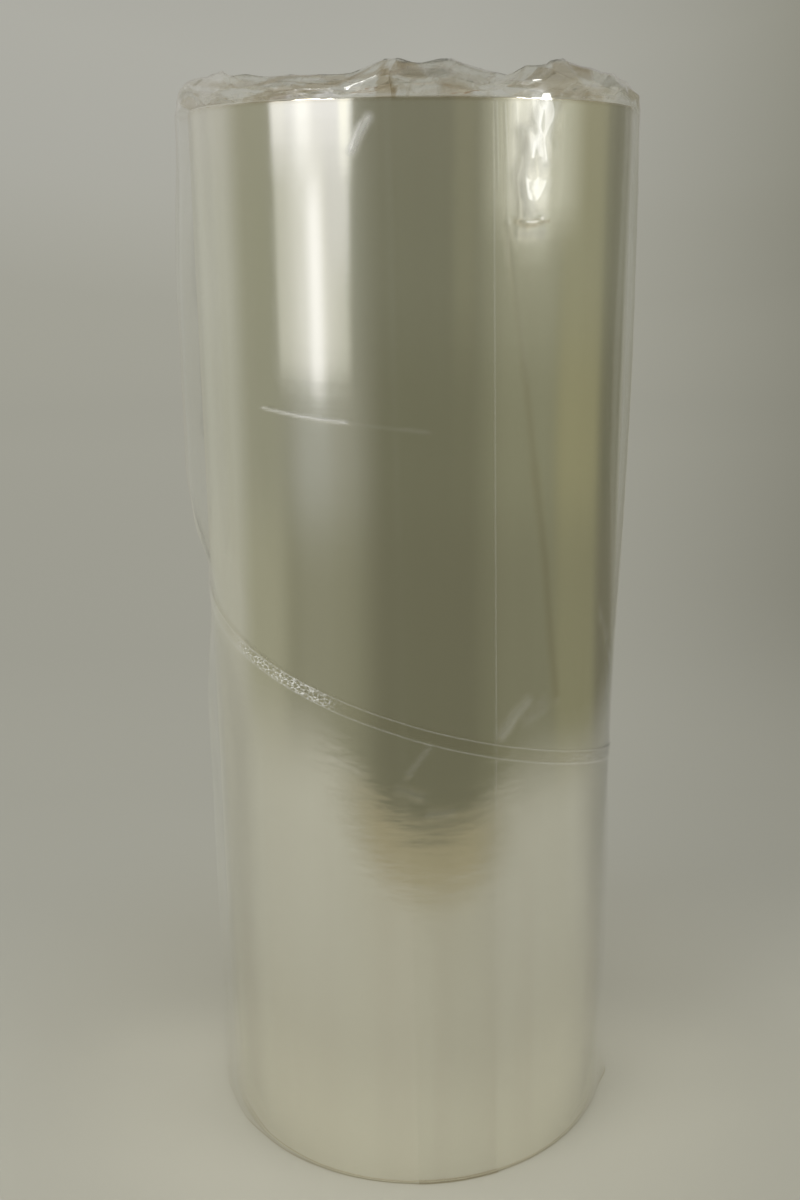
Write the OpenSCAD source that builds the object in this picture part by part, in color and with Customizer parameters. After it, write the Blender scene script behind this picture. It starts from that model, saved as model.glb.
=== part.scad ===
// A roll of clear stretch film standing on end, in a loose clear sleeve held by a slanting tape.
// The roll's axis is Z and it stands on the plane z = 0. Its front faces -Y.
// Angles round the roll start at the front and grow towards +X.

/* [Film] */
// Width of the film, which is the height of the standing roll
film_width = 500; // [400:5:750]
// Diameter over the wound film
roll_d = 200; // [150:1:240]
// Bands of turns that show on each end face
turn_bands = 9; // [5:1:12]
// Depth of the deepest band of turns below the end face
turn_step = 0.8; // [0.2:0.1:2]

/* [Core] */
// Bore of the cardboard core
core_bore = 76.2; // [50:0.1:80]
// Wall of the cardboard core
core_wall = 6.4; // [3:0.1:8]

/* [Sleeve] */
// Thickness of the sleeve
sleeve_t = 0.4; // [0.3:0.05:0.8]
// Gap that the sleeve keeps from the roll where it lies against it
sleeve_gap = 0.3; // [0.2:0.05:0.6]
// How far the sleeve hangs off the roll on its left, above the tape
loose_left = 8; // [2:0.5:14]
// How far the sleeve hangs off the roll on its right
loose_right = 3; // [1:0.5:8]
// How far the sleeve hangs off the roll at the back
loose_back = 4; // [1:0.5:10]
// Depth of the upright folds where the sleeve hangs off the roll
fold_depth = 2; // [0:0.25:3]
// Depth of the crumpled blister under the crown, right of the front
blister = 2; // [0:0.25:4]
// Width of the lap where the sleeve's two edges cross
lap_width = 40; // [15:1:80]
// Height of the lower hem above the ground
hem_z = 0.6; // [0.2:0.1:5]
// How far a tuft of the hem stands out over the ground on the right
hem_tuft = 4; // [0:0.5:8]

/* [Crown] */
// Height of the tallest fold above the end of the roll
crown_h = 16; // [8:0.5:30]
// Width of the end face left open round the core
crown_margin = 12; // [4:1:16]
// How far the folds wander, as a share of the space between them
crumple = 0.45; // [0:0.05:0.5]

/* [Tape] */
// Width of the tape
tape_w = 6.5; // [4:0.5:12]
// Thickness of the tape
tape_t = 0.3; // [0.2:0.05:0.6]
// Height of the tape's centre line at the front
tape_z = 238; // [150:1:260]
// Slant of the tape, falling to the right
tape_slant = 17.4; // [0:0.1:18]
// Gap between the tape and the sleeve under it
tape_gap = 0.3; // [0.2:0.05:0.5]
// Bare sleeve at the back between the tape's two ends
tape_bare = 56; // [40:1:90]

/* [Hidden] */
$fn = 128;

roll_r = roll_d / 2;
core_r = core_bore / 2 + core_wall;
half_turn = 180;
round_mm = PI * roll_r / half_turn;

function turn_from(a, b) =
    let (d = (a - b) % (2 * half_turn))
    d > half_turn ? d - 2 * half_turn : d < -half_turn ? d + 2 * half_turn : d;
function ease(t) = let (c = min(1, max(0, t))) c * c * (3 - 2 * c);
function swell(a, b, w) = exp(-pow(turn_from(a, b) / w, 2));

// Tape: a helix whose two ends lie at the back. The sleeve's rows follow it, and climb back between
// its ends.
tape_reach = half_turn - tape_bare / 2 / round_mm;
tape_steps = 82;
tape_drop = round_mm * tan(tape_slant);
function helix_z(a) = tape_z - tape_drop * a;
function crease_z(a) = abs(a) <= tape_reach
    ? helix_z(a)
    : helix_z(tape_reach * (half_turn - abs(a)) / (half_turn - tape_reach) * sign(a));

// Lap edge: runs down the front, leaning a little. The layers are counted at an angle past the edge,
// which is below 0 inside the lap. Under the tape the step at the edge is bridged.
lap_top = 18.8;
lap_foot = 23.7;
lap_edge = 0.25;
lap_ramp = 2;
lap_bridge = 3;
lap_turn = lap_width / round_mm;
function lap_angle(z) = lap_foot + (lap_top - lap_foot) * z / film_width;
function lap_layers(past) = 1 + ease((past + lap_turn) / lap_ramp + 1);
function bridged_layers(past) = past <= 0 ? lap_layers(past) : 1 + ease(2 - past / lap_bridge);

// Places where the sleeve stands off the roll, as [angle, half width of the place, depth, height over
// which it closes on the tape from above]. Below the tape it hangs off by a smaller share.
hangs = [
    [-96, 40, loose_left, 45],
    [92, 26, loose_right, 190],
    [178, 50, loose_back, 60],
];
share_below = 0.35;
close_below = 60;
rim_share = 0.55;
rim_depth = 90;
function taped(a) = ease((half_turn - abs(a)) / (half_turn - tape_reach));
function off_tape(a, z, closing) =
    let (d = abs(z - crease_z(a)) - tape_w) 1 - taped(a) * (1 - ease(d / closing));
function below_rim(z) = rim_share + (1 - rim_share) * ease((film_width - z) / rim_depth);
function hang(a, z) = max([
    for (h = hangs)
        swell(a, h[0], h[1]) * h[2]
            * (z > crease_z(a) ? off_tape(a, z, h[3]) : share_below * off_tape(a, z, close_below))
]);
// Upright folds, which are full where the sleeve hangs off by this much. Up the roll they lean and
// sway, in degrees for each millimetre.
full_fold = 4;
folds_round = 17;
fold_lean = 0.5;
fold_sway = 40;
fold_sways = 1.3;
function fold(a, z) =
    0.5 + 0.5 * sin(a * folds_round + z * fold_lean + fold_sway * sin(z * fold_sways));
function fold_share(a, z) = min(1, hang(a, z) / full_fold);

// The blister and the tuft, each at an angle and with its half width and height
blister_angle = 30;
blister_spread = 8;
blister_drop = 28;
blister_reach = 26;
tuft_angle = 84;
tuft_spread = 6;
tuft_height = 14;
function blister_share(a, z) = swell(a, blister_angle, blister_spread)
    * exp(-pow((film_width - blister_drop - z) / blister_reach, 2));
function tuft_share(a, z) = swell(a, tuft_angle, tuft_spread) * pow(max(0, 1 - z / tuft_height), 2);
function stand_off(a, z) = below_rim(z) * hang(a, z)
    + fold_depth * fold_share(a, z) * fold(a, z)
    + blister * blister_share(a, z)
    + hem_tuft * tuft_share(a, z);
inner_r = roll_r + sleeve_gap;

// Crown: the height of its folds round the rim, as shares of the tallest
crown_outline = [
    [-180, 0.6], [-152, 0.85], [-128, 0.55], [-104, 0.65], [-88, 0.5], [-74, 0.55], [-64, 0.8], [-52, 0.65],
    [-34, 0.54], [-20, 0.48], [-14, 0.53], [-6, 0.82], [2, 0.71], [10, 0.87], [17, 0.56], [23, 0.46],
    [28, 0.63], [35, 0.68], [41, 0.95], [48, 0.77], [56, 0.63], [66, 0.68], [76, 0.52], [92, 0.5],
    [118, 0.75], [146, 0.55], [180, 0.6],
];
// How the crown turns in over the rim, as [share of the way in, share of the fold's height]
crown_path = [
    [0, 0.08], [0.02, 0.5], [0.11, 1], [0.27, 0.48], [0.42, 0.74], [0.6, 0.36], [0.8, 0.52], [1, 0.26],
];
crown_in = roll_r - core_r - crown_margin;
crown_folds = 44;
crown_seed = 9;
fold_swing = crumple * 360 / crown_folds / 2;
fold_lift = 0.14;
function path_share(k) = crown_path[min(max(k, 0), len(crown_path) - 1)][0];
function fold_wander(k) = crumple * crown_in * (path_share(k + 1) - path_share(k - 1)) / 2;
function crown_at(a) = crown_h * lookup(turn_from(a, 0), crown_outline);
// Scattered numbers from -1 to 1, one for each fold i and each use k, and a line drawn through them
scatter_size = 1000;
golden_angle = 137.5;
use_angle = 53.3;
function scatter(i, k) =
    let (s = scatter_size * sin(i * golden_angle + k * use_angle + crown_seed))
    2 * (s - floor(s)) - 1;
function noise(u, k) =
    let (s = u / 360 * crown_folds, i = floor(s), t = s - i)
    scatter(i % crown_folds, k) * (1 - t) + scatter((i + 1) % crown_folds, k) * t;

// Rows of the sleeve from the hem to the edge of the crown, and its columns round the roll
rows_below = 5;
rows_above = 11;
columns = 2 * crown_folds + 1;
row_margin = 1.2;
body_rows = rows_below + 2 + rows_above;
function body_z(a, j) =
    let (low = crease_z(a) - tape_w, high = crease_z(a) + tape_w)
    j == 0 ? hem_z
        : j <= rows_below + 1
            ? tuft_height + (low - tuft_height) * (j - 1) / rows_below
            : high + (film_width - row_margin - high) * (j - rows_below - 2) / (rows_above - 1);
function body_point(u, j) =
    let (a = lap_foot + u, z = body_z(turn_from(a, 0), j), b = turn_from(lap_angle(z) + u, 0))
    [inner_r + stand_off(b, z), b, z];
function crown_point(u, k) =
    let (
        free = k == 0 ? 0 : 1,
        b = turn_from(lap_top + u + free * fold_swing * noise(u, 3 * k), 0),
        path = crown_path[k],
        rim = inner_r + stand_off(b, film_width),
        way_in = path[0] * (crown_in + rim - roll_r),
        rise = path[1] + free * fold_lift * noise(u, 3 * k + 1)
    )
    [
        rim - way_in + free * fold_wander(k) * noise(u, 3 * k + 2),
        b,
        film_width + sleeve_gap + rise * crown_at(b),
    ];
function to_xyz(p) = [p[0] * sin(p[1]), -p[0] * cos(p[1]), p[2]];

// A closed shell over a grid of inner points, with the layers' thickness set off along the normals
module sleeve() {
    turns = [for (i = [0 : columns - 1]) min(360 - lap_edge, i * 360 / (columns - 1))];
    rows = body_rows + len(crown_path);
    inside = [for (u = turns) [
        for (j = [0 : rows - 1]) to_xyz(j < body_rows ? body_point(u, j) : crown_point(u, j - body_rows))
    ]];
    normals = [for (i = [0 : columns - 1]) [
        for (j = [0 : rows - 1])
            let (
                left = inside[max(i - 1, 0)][j],
                right = inside[min(i + 1, columns - 1)][j],
                down = inside[i][max(j - 1, 0)],
                up = inside[i][min(j + 1, rows - 1)],
                n = cross(right - left, up - down)
            )
            n / norm(n)
    ]];
    outside = [for (i = [0 : columns - 1]) [
        for (j = [0 : rows - 1]) inside[i][j] + sleeve_t * lap_layers(turns[i] - 360) * normals[i][j]
    ]];
    count = columns * rows;
    function at(i, j, side) = side * count + (i % columns) * rows + j;
    points = [for (side = [inside, outside]) for (column = side) for (p = column) p];
    skins = [
        for (i = [0 : columns - 1], j = [0 : rows - 2])
            for (face = [
                [at(i, j, 1), at(i, j + 1, 1), at(i + 1, j + 1, 1)],
                [at(i, j, 1), at(i + 1, j + 1, 1), at(i + 1, j, 1)],
                [at(i, j, 0), at(i + 1, j + 1, 0), at(i, j + 1, 0)],
                [at(i, j, 0), at(i + 1, j, 0), at(i + 1, j + 1, 0)],
            ]) face
    ];
    edges = [
        for (i = [0 : columns - 1])
            for (face = [
                [at(i, 0, 1), at(i + 1, 0, 1), at(i + 1, 0, 0)],
                [at(i, 0, 1), at(i + 1, 0, 0), at(i, 0, 0)],
                [at(i, rows - 1, 1), at(i + 1, rows - 1, 0), at(i + 1, rows - 1, 1)],
                [at(i, rows - 1, 1), at(i, rows - 1, 0), at(i + 1, rows - 1, 0)],
            ]) face
    ];
    polyhedron(points, concat(skins, edges), convexity = 6);
}

// Half of an end face, from the core to the rim: bands of turns that lie at slightly different depths
function band_depth(i) =
    i == turn_bands - 1 ? 0 : turn_step * (0.5 + 0.5 * sin(i * golden_angle));
function band_r(i) = core_r + (roll_r - core_r) * i / turn_bands;
function end_face() = [
    for (i = [0 : turn_bands - 1])
        for (r = [band_r(i), band_r(i + 1)]) [r, band_depth(i)]
];
function reversed(list) = [for (i = [len(list) - 1 : -1 : 0]) list[i]];

module core() {
    color("tan")
        difference() {
            cylinder(h = film_width, r = core_r);
            translate([0, 0, -1])
                cylinder(h = film_width + 2, d = core_bore);
        }
}

module film_roll() {
    upper = [for (p = reversed(end_face())) [p[0], film_width - p[1]]];
    color("lightgray")
        rotate_extrude()
            polygon(concat(end_face(), upper));
}

module overwrap() {
    color("lightcyan", 0.4)
        sleeve();
}

// Tape: a strip swept along the helix, set off the sleeve under it
module tape_band() {
    half = tape_w / 2;
    turns = [for (i = [0 : tape_steps]) -tape_reach + 2 * tape_reach * i / tape_steps];
    corners = [[0, -half], [tape_t, -half], [tape_t, half], [0, half]];
    rings = [for (a = turns) [
        for (c = corners)
            to_xyz([
                inner_r + sleeve_t * bridged_layers(turn_from(a, lap_angle(helix_z(a)))) + tape_gap + c[0],
                a + c[1] * sin(tape_slant) / round_mm,
                helix_z(a) + c[1] * cos(tape_slant),
            ])
    ]];
    n = len(corners);
    sides = [
        for (i = [0 : tape_steps - 1], j = [0 : n - 1])
            for (face = [
                [i * n + j, i * n + (j + 1) % n, (i + 1) * n + (j + 1) % n],
                [i * n + j, (i + 1) * n + (j + 1) % n, (i + 1) * n + j],
            ]) face
    ];
    last = tape_steps * n;
    ends = [[3, 2, 1], [3, 1, 0], [last, last + 1, last + 2], [last, last + 2, last + 3]];
    color("white", 0.6)
        polyhedron([for (ring = rings) for (p = ring) p], concat(sides, ends), convexity = 4);
}

core();
film_roll();
overwrap();
tape_band();
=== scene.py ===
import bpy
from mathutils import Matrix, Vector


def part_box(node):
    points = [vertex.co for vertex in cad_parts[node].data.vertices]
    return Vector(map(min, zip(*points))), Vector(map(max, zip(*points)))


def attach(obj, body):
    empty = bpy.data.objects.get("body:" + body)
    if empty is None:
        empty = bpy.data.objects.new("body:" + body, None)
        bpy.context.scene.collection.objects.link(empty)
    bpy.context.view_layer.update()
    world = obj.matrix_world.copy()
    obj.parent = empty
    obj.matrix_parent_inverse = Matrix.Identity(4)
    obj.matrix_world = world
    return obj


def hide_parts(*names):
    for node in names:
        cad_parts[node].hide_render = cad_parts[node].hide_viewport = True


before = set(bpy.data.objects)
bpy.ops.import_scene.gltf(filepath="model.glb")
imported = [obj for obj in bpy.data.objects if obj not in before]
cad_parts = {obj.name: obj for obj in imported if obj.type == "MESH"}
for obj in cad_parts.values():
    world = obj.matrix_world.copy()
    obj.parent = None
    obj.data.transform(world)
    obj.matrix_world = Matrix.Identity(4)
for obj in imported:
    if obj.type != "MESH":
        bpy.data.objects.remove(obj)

"""A roll of clear stretch film on end, in its loose sleeve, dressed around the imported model.

Angles round the roll are in degrees from the front, which faces -Y, and grow towards +X, as in the
part's source. Shapes are worked out in millimetres and meshes are made in metres.
"""
import math

import bpy
import numpy as np
from mathutils import Matrix, Vector

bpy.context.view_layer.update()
MM = 0.001

# The roll, from the frame
ROLL_R = round(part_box("film_roll")[1].x / MM, 3)
FILM_WIDTH = round(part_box("film_roll")[1].z / MM, 3)
CORE_R = round(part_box("core")[1].x / MM, 3)
ROUND_MM = math.pi * ROLL_R / 180

# The sleeve and its tape, in the words of the part's source
SLEEVE_T = 0.4
SLEEVE_GAP = 0.3
LOOSE_LEFT, LOOSE_RIGHT, LOOSE_BACK = 8, 3, 4
FOLD_DEPTH = 2
BLISTER = 2
LAP_WIDTH = 40
HEM_Z = 0.6
HEM_TUFT = 4
CROWN_H = 16
CROWN_MARGIN = 12
CRUMPLE = 0.45
TAPE_W = 6.5
TAPE_GAP = 0.3
TAPE_Z = 238
TAPE_SLANT = math.radians(17.4)
TAPE_BARE = 56
INNER_R = ROLL_R + SLEEVE_GAP


# Shape functions. They take and give numpy arrays.

def ease(t):
    t = np.clip(t, 0, 1)
    return t * t * (3 - 2 * t)


def turn_from(a, b):
    return (a - b + 180) % 360 - 180


def swell(a, b, width):
    return np.exp(-(turn_from(a, b) / width) ** 2)


def sin_deg(a):
    return np.sin(np.radians(a))


TAPE_REACH = 180 - TAPE_BARE / 2 / ROUND_MM
TAPE_DROP = ROUND_MM * math.tan(TAPE_SLANT)


def helix_z(a):
    return TAPE_Z - TAPE_DROP * a


def crease_z(a):
    """Height of the line that the tape pulls in, which climbs back between the tape's ends."""
    between = TAPE_REACH * (180 - np.abs(a)) / (180 - TAPE_REACH) * np.sign(a)
    return helix_z(np.where(np.abs(a) <= TAPE_REACH, a, between))


LAP_TOP, LAP_FOOT = 18.8, 23.7
LAP_RAMP = 2
LAP_BRIDGE = 3
LAP_TURN = LAP_WIDTH / ROUND_MM


def lap_angle(z):
    return LAP_FOOT + (LAP_TOP - LAP_FOOT) * z / FILM_WIDTH


def lap_layers(past):
    return 1 + ease((past + LAP_TURN) / LAP_RAMP + 1)


def bridged_layers(past):
    return np.where(past <= 0, lap_layers(past), 1 + ease(2 - past / LAP_BRIDGE))


# Places where the sleeve hangs off the roll: angle, half width, depth, height over which it closes
HANGS = [
    (-96, 40, LOOSE_LEFT, 45),
    (92, 26, LOOSE_RIGHT, 190),
    (178, 50, LOOSE_BACK, 60),
]
SHARE_BELOW = 0.35
CLOSE_BELOW = 60
RIM_SHARE = 0.55
RIM_DEPTH = 90
FULL_FOLD = 4
FOLDS_ROUND = 17
FOLD_LEAN = 0.5
FOLD_SWAY = 40
FOLD_SWAYS = 1.3


def off_tape(a, z, closing):
    taped = ease((180 - np.abs(a)) / (180 - TAPE_REACH))
    clear = np.abs(z - crease_z(a)) - TAPE_W
    return 1 - taped * (1 - ease(clear / closing))


def hang(a, z):
    above = z > crease_z(a)
    below = SHARE_BELOW * off_tape(a, z, CLOSE_BELOW)
    return np.max([
        swell(a, at, width) * depth * np.where(above, off_tape(a, z, closing), below)
        for at, width, depth, closing in HANGS
    ], axis=0)


def below_rim(z):
    return RIM_SHARE + (1 - RIM_SHARE) * ease((FILM_WIDTH - z) / RIM_DEPTH)


def fold(a, z):
    sway = FOLD_SWAY * sin_deg(z * FOLD_SWAYS)
    return 0.5 + 0.5 * sin_deg(a * FOLDS_ROUND + z * FOLD_LEAN + sway)


def fold_share(a, z):
    return np.minimum(1, hang(a, z) / FULL_FOLD)


BLISTER_ANGLE, BLISTER_SPREAD, BLISTER_DROP, BLISTER_REACH = 30, 8, 28, 26
TUFT_ANGLE, TUFT_SPREAD, TUFT_HEIGHT = 84, 6, 14


def blister_share(a, z):
    up = (FILM_WIDTH - BLISTER_DROP - z) / BLISTER_REACH
    return swell(a, BLISTER_ANGLE, BLISTER_SPREAD) * np.exp(-up ** 2)


def tuft_share(a, z):
    return swell(a, TUFT_ANGLE, TUFT_SPREAD) * np.maximum(0, 1 - z / TUFT_HEIGHT) ** 2


def stand_off(a, z):
    """How far the sleeve stands off the roll."""
    return (
        below_rim(z) * hang(a, z)
        + FOLD_DEPTH * fold_share(a, z) * fold(a, z)
        + BLISTER * blister_share(a, z)
        + HEM_TUFT * tuft_share(a, z)
    )


# Crown: heights of its folds round the rim, and its path in over the rim
CROWN_OUTLINE = [
    (-180, 0.6), (-152, 0.85), (-128, 0.55), (-104, 0.65), (-88, 0.5), (-74, 0.55), (-64, 0.8),
    (-52, 0.65), (-34, 0.54), (-20, 0.48), (-14, 0.53), (-6, 0.82), (2, 0.71), (10, 0.87),
    (17, 0.56), (23, 0.46), (28, 0.63), (35, 0.68), (41, 0.95), (48, 0.77), (56, 0.63), (66, 0.68),
    (76, 0.52), (92, 0.5), (118, 0.75), (146, 0.55), (180, 0.6),
]
CROWN_PATH = [
    (0, 0.08), (0.02, 0.5), (0.11, 1), (0.27, 0.48),
    (0.42, 0.74), (0.6, 0.36), (0.8, 0.52), (1, 0.26),
]
CROWN_IN = ROLL_R - CORE_R - CROWN_MARGIN
CROWN_FOLDS = 44
CROWN_SEED = 9
FOLD_SWING = CRUMPLE * 360 / CROWN_FOLDS / 2
FOLD_LIFT = 0.14
SCATTER_SIZE = 1000
SCATTER_STEP = 53.3
GOLDEN_ANGLE = 137.5


def scatter(i, k):
    """A number from -1 to 1 for each fold i and use k, always the same."""
    s = SCATTER_SIZE * sin_deg(i * GOLDEN_ANGLE + k * SCATTER_STEP + CROWN_SEED)
    return 2 * (s - np.floor(s)) - 1


def noise_round(u, k):
    s = u % 360 / 360 * CROWN_FOLDS
    i, t = np.floor(s), s - np.floor(s)
    return scatter(i % CROWN_FOLDS, k) * (1 - t) + scatter((i + 1) % CROWN_FOLDS, k) * t


def crown_at(a):
    angles, shares = zip(*CROWN_OUTLINE)
    return CROWN_H * np.interp(turn_from(a, 0), angles, shares)


def path_share(k):
    return CROWN_PATH[min(max(k, 0), len(CROWN_PATH) - 1)][0]


def crown_station(u, k):
    """Radius, angle and height of the crown's row k, where it turns u degrees past the lap edge."""
    free = 0 if k == 0 else 1
    b = LAP_TOP + u + free * FOLD_SWING * noise_round(u, 3 * k)
    rim = INNER_R + stand_off(turn_from(b, 0), FILM_WIDTH)
    way_in = CROWN_PATH[k][0] * (CROWN_IN + rim - ROLL_R)
    rise = CROWN_PATH[k][1] + free * FOLD_LIFT * noise_round(u, 3 * k + 1)
    wander = CRUMPLE * CROWN_IN * (path_share(k + 1) - path_share(k - 1)) / 2
    r = rim - way_in + free * wander * noise_round(u, 3 * k + 2)
    return np.array([r, b, FILM_WIDTH + SLEEVE_GAP + rise * crown_at(b)])


def to_xyz(r, a, z):
    a = np.radians(a)
    return np.stack([r * np.sin(a), -r * np.cos(a), z + 0 * r], axis=-1)


def lathe(profile, segments):
    """Points of a profile of radii and heights, turned round the axis."""
    turns = np.arange(segments) * 360 / segments
    return to_xyz(profile[:, :1] + 0 * turns, turns + 0 * profile[:, :1], profile[:, 1:])


# Mesh helpers

def grid_faces(rows, columns, closed=False):
    """Quads of a grid whose points lie row by row."""
    last = columns if closed else columns - 1
    i, j = np.meshgrid(np.arange(rows - 1), np.arange(last), indexing="ij")
    a, b = i * columns + j, i * columns + (j + 1) % columns
    return np.stack([a, b, b + columns, a + columns], axis=-1).reshape(-1, 4)


def add_mesh(name, points, faces, material, attributes=()):
    """A smooth mesh from points in millimetres. Each attribute has one number for each point."""
    mesh = bpy.data.meshes.new(name)
    mesh.from_pydata((points.reshape(-1, 3) * MM).tolist(), [], faces.tolist())
    mesh.materials.append(material)
    for key, values in dict(attributes).items():
        attribute = mesh.attributes.new(key, "FLOAT", "POINT")
        attribute.data.foreach_set("value", values.astype(np.float32).ravel())
    mesh.shade_smooth()
    obj = bpy.data.objects.new(name, mesh)
    bpy.context.scene.collection.objects.link(obj)
    return obj


def normals_of(grid):
    """Unit normals of a grid of points, which point out of the roll where its rows go up."""
    along = np.gradient(grid, axis=1)
    up = np.gradient(grid, axis=0)
    n = np.cross(along, up)
    return n / np.maximum(np.linalg.norm(n, axis=-1, keepdims=True), 1e-9)


# Material helpers

class Graph:
    """Adds joined nodes to one material or world."""

    def __init__(self, owner):
        owner.use_nodes = True
        self.tree = owner.node_tree
        self.tree.nodes.clear()

    def add(self, kind, inputs=None, **settings):
        node = self.tree.nodes.new(kind)
        for key, value in settings.items():
            setattr(node, key, value)
        for key, value in (inputs or {}).items():
            if isinstance(value, bpy.types.NodeSocket):
                self.tree.links.new(value, node.inputs[key])
            else:
                node.inputs[key].default_value = value
        return node

    def math(self, operation, *values, clamp=False):
        settings = {"operation": operation, "use_clamp": clamp}
        return self.add("ShaderNodeMath", dict(enumerate(values)), **settings).outputs[0]

    def times(self, a, b):
        return self.math("MULTIPLY", a, b)

    def smooth(self, value, low, high, start=0.0, end=1.0):
        inputs = {"Value": value, "From Min": low, "From Max": high, "To Min": start, "To Max": end}
        node = self.add("ShaderNodeMapRange", inputs, interpolation_type="SMOOTHSTEP")
        return node.outputs[0]

    def within(self, value, rise, fall, height=1.0):
        """From 0 up to the height over the rise, and back to 0 over the fall."""
        up = self.smooth(value, *rise, 0.0, height)
        down = self.smooth(value, *fall, 1.0, 0.0)
        return self.times(up, down)

    def mix(self, factor, a, b):
        node = self.add("ShaderNodeMix", {0: factor, 6: a, 7: b}, data_type="RGBA")
        return node.outputs[2]

    def scaled(self, tint, factors):
        node = self.add("ShaderNodeVectorMath", {0: tint, 1: factors}, operation="MULTIPLY")
        return node.outputs[0]

    def mix_shader(self, factor, a, b):
        return self.add("ShaderNodeMixShader", {0: factor, 1: a, 2: b}).outputs[0]

    def noise(self, vector, scale, detail=3.0):
        node = self.add("ShaderNodeTexNoise", {"Vector": vector, "Scale": scale, "Detail": detail})
        return node.outputs[0]

    def rings(self, radius, scale, detail):
        """Noise that changes with the radius alone."""
        inputs = {"W": radius, "Scale": scale, "Detail": detail}
        return self.add("ShaderNodeTexNoise", inputs, noise_dimensions="1D").outputs[0]

    def place(self):
        """Object coordinates, in metres."""
        return self.add("ShaderNodeTexCoord").outputs["Object"]

    def apart(self, vector):
        return self.add("ShaderNodeSeparateXYZ", {0: vector}).outputs

    def stretched(self, scale):
        """Object coordinates, scaled apart along each axis."""
        return self.add("ShaderNodeMapping", {"Vector": self.place(), "Scale": scale}).outputs[0]

    def polar(self):
        """Angle from the front in degrees, distance from the axis and height, in metres."""
        x, y, z = self.apart(self.place())
        angle = self.math("DEGREES", self.math("ARCTAN2", x, self.times(y, -1.0)))
        radius = self.math("SQRT", self.math("ADD", self.times(x, x), self.times(y, y)))
        return angle, radius, z

    def bump(self, height, distance, strength=1.0):
        inputs = {"Height": height, "Distance": distance, "Strength": strength}
        return self.add("ShaderNodeBump", inputs).outputs[0]

    def surface(self, shader):
        self.add("ShaderNodeOutputMaterial", {"Surface": shader})


def colour(r, g, b):
    return (r, g, b, 1.0)


WHITE = colour(1, 1, 1)
# The wound film: how streaks and bands are stretched, its two tints, the share of the bands in its
# relief, and how deep that is in metres
STREAKS, BANDS = (60, 60, 1.5), (2, 2, 90)
STREAK_RANGE = (0.35, 0.65)
WOUND_TINTS = colour(0.94, 0.925, 0.853), colour(0.92, 0.9, 0.828)
WOUND_ROUGHNESS = 0.1
BAND_SHARE = 0.5
WOUND_RELIEF = 0.00004
# Ripples low on its front: how they are stretched, how strong they are, and the heights in metres
# and angles between which they rise and fade
RIPPLES = (45, 45, 130)
RIPPLE_STRENGTH = 2.4
RIPPLE_Z = (0.13, 0.17), (0.22, 0.26)
RIPPLE_ANGLE = (-34.0, -18.0), (18.0, 36.0)


def wound_film():
    """Hundreds of clear turns, which mirror the room with a warm grey tint."""
    material = bpy.data.materials.new("wound_film")
    g = Graph(material)
    streaks = g.noise(g.stretched(STREAKS), 1.0)
    bands = g.noise(g.stretched(BANDS), 1.0)
    height = g.math("ADD", streaks, g.times(bands, BAND_SHARE))
    angle, _, z = g.polar()
    low_down = g.within(z, *RIPPLE_Z, RIPPLE_STRENGTH)
    in_front = g.within(angle, *RIPPLE_ANGLE)
    ripples = g.noise(g.stretched(RIPPLES), 1.0)
    height = g.math("MULTIPLY_ADD", ripples, g.times(low_down, in_front), height)
    shader = g.add("ShaderNodeBsdfPrincipled", {
        "Base Color": g.mix(g.smooth(streaks, *STREAK_RANGE), *WOUND_TINTS),
        "Metallic": 1.0,
        "Roughness": WOUND_ROUGHNESS,
        "Normal": g.bump(height, WOUND_RELIEF),
    })
    g.surface(shader.outputs[0])
    return material


# The ends of its turns: scale and detail of their rings, the values between which they go, tints,
# and depth in metres
RINGS, BROAD_RINGS = (900.0, 4.0), (110.0, 2.0)
RING_RANGE, BROAD_RANGE = (0.2, 0.8), (0.3, 0.7)
EDGE_TINTS = colour(0.72, 0.71, 0.63), colour(0.56, 0.55, 0.47)
EDGE_METALLIC = 0.35
EDGE_ROUGHNESS = (0.25, 0.4)
EDGE_RELIEF = 0.0002


def film_edges():
    """The ends of the turns: milky, with fine rings."""
    material = bpy.data.materials.new("film_edges")
    g = Graph(material)
    _, radius, _ = g.polar()
    rings = g.rings(radius, *RINGS)
    broad = g.rings(radius, *BROAD_RINGS)
    shader = g.add("ShaderNodeBsdfPrincipled", {
        "Base Color": g.mix(g.smooth(broad, *BROAD_RANGE), *EDGE_TINTS),
        "Metallic": EDGE_METALLIC,
        "Roughness": g.smooth(rings, *RING_RANGE, *EDGE_ROUGHNESS),
        "Normal": g.bump(rings, EDGE_RELIEF),
    })
    g.surface(shader.outputs[0])
    return material


# Clear film: its marks, its tint where it lies folded, which also paints shade in creases and
# along the hem and the rim, its crinkles and how it mirrors
FILM_MARKS = ("haze_and_highlight", "fold_and_shade", "gloss")
FOLD_AND_SHADE_TINT = colour(0.72, 0.655, 0.535)
CRINKLE_STRETCH = (1, 1, 0.6)
CRINKLE_SCALE, CRINKLE_DETAIL = 55.0, 4.0
CRINKLE_DEPTH, CRINKLE_STRENGTH = 0.0005, 0.35
SLANT_POWER = 4.0
GLOSS_ROUGHNESS = 0.05
# Of each clear film: the colour of its haze, which also paints highlights, its own tint, and the
# least share that it mirrors
SLEEVE_FILM = colour(0.72, 0.71, 0.65), colour(0.992, 0.992, 0.986), 0.07
TAPE_FILM = colour(0.9, 0.9, 0.85), colour(0.985, 0.98, 0.965), 0.05


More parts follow.
